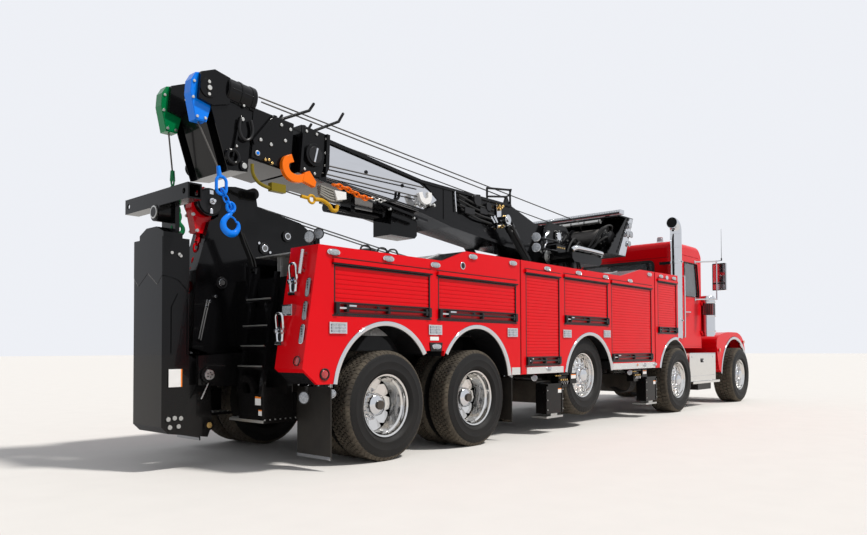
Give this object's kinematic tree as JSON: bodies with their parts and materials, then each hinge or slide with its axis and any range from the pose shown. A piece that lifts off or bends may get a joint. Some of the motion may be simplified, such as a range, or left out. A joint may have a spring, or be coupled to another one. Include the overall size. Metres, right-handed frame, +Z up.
{
  "type": "rotating-boom recovery tow truck",
  "caption": "Heavy recovery truck with conventional cab, locker body, rotating telescopic boom, tail mast, folding underlift with crossbar, and outriggers.",
  "frame": {"origin": "on the ground under the middle of the truck's overall length and width", "axes": "+X to the front of the truck, +Y to its left side, +Z up"},
  "size_m": [12.35, 3.06, 3.607],
  "materials": {
    "red_paint": "gloss",
    "black_steel": "gloss",
    "dark_chassis": "satin",
    "chrome": "mirror",
    "bright_aluminium": "polished",
    "cast_iron": "matt",
    "brushed_steel": "satin",
    "tyre": "matt",
    "rubber": "matt",
    "glass": "clear",
    "lamp": "gloss",
    "trim": "matt",
    "blue_paint": "gloss",
    "red_block": "gloss"
  },
  "bodies": {
    "truck": {"chassis_frame": "dark_chassis", "axles": "dark_chassis", "engine_and_shafts": "cast_iron", "body_sides": "red_paint", "shutters": "red_paint", "deck": "bright_aluminium", "tail_board": "black_steel", "tail_mast": "black_steel", "tail_block": "red_block", "cab_shell": "red_paint", "cab_glass": "glass", "cab_interior": "trim", "front_bumper": "chrome", "step_boxes": "bright_aluminium", "exhaust_stacks": "chrome", "air_cleaners": "chrome", "mudflaps": "rubber", "marker_lamps": "lamp"},
    "hood": {"hood": "red_paint", "grille": "chrome", "headlamps": "chrome"},
    "turret": {"turret_frame": "black_steel", "winches": "dark_chassis", "light_bar": "lamp"},
    "boom_base": {"boom_base": "black_steel"},
    "boom_stage_2": {"boom_stage_2": "black_steel"},
    "boom_stage_3": {"boom_stage_3": "black_steel"},
    "boom_blocks": {"boom_blocks": "blue_paint"},
    "lift_barrels": {"lift_barrels": "black_steel"},
    "lift_rods": {"lift_rods": "chrome"},
    "underlift_arm": {"underlift_arm": "black_steel"},
    "underlift_extension": {"underlift_extension": "black_steel"},
    "crossbar": {"crossbar": "black_steel"},
    "knuckle_1_left": {"knuckle_1_left": "dark_chassis"},
    "knuckle_2_left": {"knuckle_2_left": "dark_chassis"},
    "wheel_1_left": {"wheel_1_left": "tyre"},
    "wheel_2_left": {"wheel_2_left": "tyre"},
    "wheel_3_left": {"wheel_3_left": "tyre"},
    "wheel_4_left": {"wheel_4_left": "tyre"},
    "wheel_5_left": {"wheel_5_left": "tyre"},
    "door_left": {"door_left": "red_paint", "door_glass_left": "glass"},
    "outrigger_beam_rear_left": {"outrigger_beam_rear_left": "black_steel"},
    "outrigger_leg_rear_left": {"outrigger_leg_rear_left": "brushed_steel"},
    "outrigger_beam_front_left": {"outrigger_beam_front_left": "black_steel"},
    "outrigger_leg_front_left": {"outrigger_leg_front_left": "brushed_steel"},
    "knuckle_1_right": {"knuckle_1_right": "dark_chassis"},
    "knuckle_2_right": {"knuckle_2_right": "dark_chassis"},
    "wheel_1_right": {"wheel_1_right": "tyre"},
    "wheel_2_right": {"wheel_2_right": "tyre"},
    "wheel_3_right": {"wheel_3_right": "tyre"},
    "wheel_4_right": {"wheel_4_right": "tyre"},
    "wheel_5_right": {"wheel_5_right": "tyre"},
    "door_right": {"door_right": "red_paint", "door_glass_right": "glass"},
    "outrigger_beam_rear_right": {"outrigger_beam_rear_right": "black_steel"},
    "outrigger_leg_rear_right": {"outrigger_leg_rear_right": "brushed_steel"},
    "outrigger_beam_front_right": {"outrigger_beam_front_right": "black_steel"},
    "outrigger_leg_front_right": {"outrigger_leg_front_right": "brushed_steel"}
  },
  "joints": [
    {"name": "steer_1_left", "type": "hinge", "parent": "truck", "child": "knuckle_1_left", "pos_m": [5.375, 0.905, 0.53], "axis": [0, 0, 1], "range_deg": [-35, 35]},
    {"name": "steer_2_left", "type": "hinge", "parent": "truck", "child": "knuckle_2_left", "pos_m": [2.335, 0.905, 0.53], "axis": [0, 0, 1], "range_deg": [-25, 25]},
    {"name": "roll_1_left", "type": "hinge", "parent": "knuckle_1_left", "child": "wheel_1_left", "pos_m": [5.375, 1.1125, 0.53], "axis": [0, 1, 0], "continuous": true},
    {"name": "roll_2_left", "type": "hinge", "parent": "knuckle_2_left", "child": "wheel_2_left", "pos_m": [2.335, 1.1125, 0.53], "axis": [0, 1, 0], "continuous": true},
    {"name": "roll_3_left", "type": "hinge", "parent": "truck", "child": "wheel_3_left", "pos_m": [-0.68, 1.0375, 0.695], "axis": [0, 1, 0], "continuous": true},
    {"name": "roll_4_left", "type": "hinge", "parent": "truck", "child": "wheel_4_left", "pos_m": [-3.085, 1.1195, 0.52], "axis": [0, 1, 0], "continuous": true},
    {"name": "roll_5_left", "type": "hinge", "parent": "truck", "child": "wheel_5_left", "pos_m": [-4.44, 1.1195, 0.52], "axis": [0, 1, 0], "continuous": true},
    {"name": "door_swing_left", "type": "hinge", "parent": "truck", "child": "door_left", "pos_m": [4.005, 1.056, 1.3], "axis": [0, 0, -1], "range_deg": [0, 70]},
    {"name": "outrigger_rear_left", "type": "slide", "parent": "truck", "child": "outrigger_beam_rear_left", "axis": [0, 1, 0], "range_m": [0, 0.7]},
    {"name": "jack_rear_left", "type": "slide", "parent": "outrigger_beam_rear_left", "child": "outrigger_leg_rear_left", "axis": [0, 0, -1], "range_m": [0, 0.3]},
    {"name": "outrigger_front_left", "type": "slide", "parent": "truck", "child": "outrigger_beam_front_left", "axis": [0, 1, 0], "range_m": [0, 0.7]},
    {"name": "jack_front_left", "type": "slide", "parent": "outrigger_beam_front_left", "child": "outrigger_leg_front_left", "axis": [0, 0, -1], "range_m": [0, 0.3]},
    {"name": "steer_1_right", "type": "hinge", "parent": "truck", "child": "knuckle_1_right", "pos_m": [5.375, -0.905, 0.53], "axis": [0, 0, 1], "range_deg": [-35, 35]},
    {"name": "steer_2_right", "type": "hinge", "parent": "truck", "child": "knuckle_2_right", "pos_m": [2.335, -0.905, 0.53], "axis": [0, 0, 1], "range_deg": [-25, 25]},
    {"name": "roll_1_right", "type": "hinge", "parent": "knuckle_1_right", "child": "wheel_1_right", "pos_m": [5.375, -1.1125, 0.53], "axis": [0, 1, 0], "continuous": true},
    {"name": "roll_2_right", "type": "hinge", "parent": "knuckle_2_right", "child": "wheel_2_right", "pos_m": [2.335, -1.1125, 0.53], "axis": [0, 1, 0], "continuous": true},
    {"name": "roll_3_right", "type": "hinge", "parent": "truck", "child": "wheel_3_right", "pos_m": [-0.68, -1.0375, 0.695], "axis": [0, 1, 0], "continuous": true},
    {"name": "roll_4_right", "type": "hinge", "parent": "truck", "child": "wheel_4_right", "pos_m": [-3.085, -1.1195, 0.52], "axis": [0, 1, 0], "continuous": true},
    {"name": "roll_5_right", "type": "hinge", "parent": "truck", "child": "wheel_5_right", "pos_m": [-4.44, -1.1195, 0.52], "axis": [0, 1, 0], "continuous": true},
    {"name": "door_swing_right", "type": "hinge", "parent": "truck", "child": "door_right", "pos_m": [4.005, -1.056, 1.3], "axis": [0, 0, 1], "range_deg": [0, 70]},
    {"name": "outrigger_rear_right", "type": "slide", "parent": "truck", "child": "outrigger_beam_rear_right", "axis": [0, -1, 0], "range_m": [0, 0.7]},
    {"name": "jack_rear_right", "type": "slide", "parent": "outrigger_beam_rear_right", "child": "outrigger_leg_rear_right", "axis": [0, 0, -1], "range_m": [0, 0.3]},
    {"name": "outrigger_front_right", "type": "slide", "parent": "truck", "child": "outrigger_beam_front_right", "axis": [0, -1, 0], "range_m": [0, 0.7]},
    {"name": "jack_front_right", "type": "slide", "parent": "outrigger_beam_front_right", "child": "outrigger_leg_front_right", "axis": [0, 0, -1], "range_m": [0, 0.3]},
    {"name": "hood_tilt", "type": "hinge", "parent": "truck", "child": "hood", "pos_m": [6.035, 0, 0.9], "axis": [0, 1, 0], "range_deg": [0, 60]},
    {"name": "slew", "type": "hinge", "parent": "truck", "child": "turret", "pos_m": [-0.125, 0, 1.6], "axis": [0, 0, 1], "range_deg": [-135, 135]},
    {"name": "boom_lift", "type": "hinge", "parent": "turret", "child": "boom_base", "pos_m": [0.075, 0, 2.75], "axis": [0, 1, 0], "range_deg": [0, 50]},
    {"name": "stage_2_slide", "type": "slide", "parent": "boom_base", "child": "boom_stage_2", "axis": [-0.9957, 0, 0.0924], "range_m": [0, 2.3]},
    {"name": "stage_3_slide", "type": "slide", "parent": "boom_stage_2", "child": "boom_stage_3", "axis": [-0.9957, 0, 0.0924], "range_m": [0, 2.3]},
    {"name": "block_swing", "type": "hinge", "parent": "boom_stage_3", "child": "boom_blocks", "pos_m": [-5.80463, 0, 3.38467], "axis": [0, 1, 0], "range_deg": [-50.1, 0]},
    {"name": "lift_barrel_swing", "type": "hinge", "parent": "turret", "child": "lift_barrels", "pos_m": [-0.475, 0, 1.9], "axis": [0, 1, 0], "range_deg": [0, 35.14]},
    {"name": "lift_rod_slide", "type": "slide", "parent": "lift_barrels", "child": "lift_rods", "axis": [-0.7031, 0, 0.711], "range_m": [0, 0.75]},
    {"name": "underlift_fold", "type": "hinge", "parent": "truck", "child": "underlift_arm", "pos_m": [-5.785, 0, 0.83], "axis": [0, -1, 0], "range_deg": [0, 95]},
    {"name": "underlift_slide", "type": "slide", "parent": "underlift_arm", "child": "underlift_extension", "axis": [0, 0, 1], "range_m": [0, 1.2]},
    {"name": "crossbar_swivel", "type": "hinge", "parent": "underlift_extension", "child": "crossbar", "pos_m": [-6.115, 0, 2.276], "axis": [1, 0, 0], "range_deg": [-20, 20]}
  ],
  "couplings": [
    {"joint": "steer_2_left", "follows": "steer_1_left", "ratio": 0.714},
    {"joint": "steer_1_right", "follows": "steer_1_left", "ratio": 1},
    {"joint": "steer_2_right", "follows": "steer_1_left", "ratio": 0.714},
    {"joint": "stage_3_slide", "follows": "stage_2_slide", "ratio": 1},
    {"joint": "block_swing", "follows": "boom_lift", "ratio": -1},
    {"joint": "lift_barrel_swing", "follows": "boom_lift", "ratio": 0.70074},
    {"joint": "lift_rod_slide", "follows": "boom_lift", "m_per_rad": 0.85709}
  ]
}
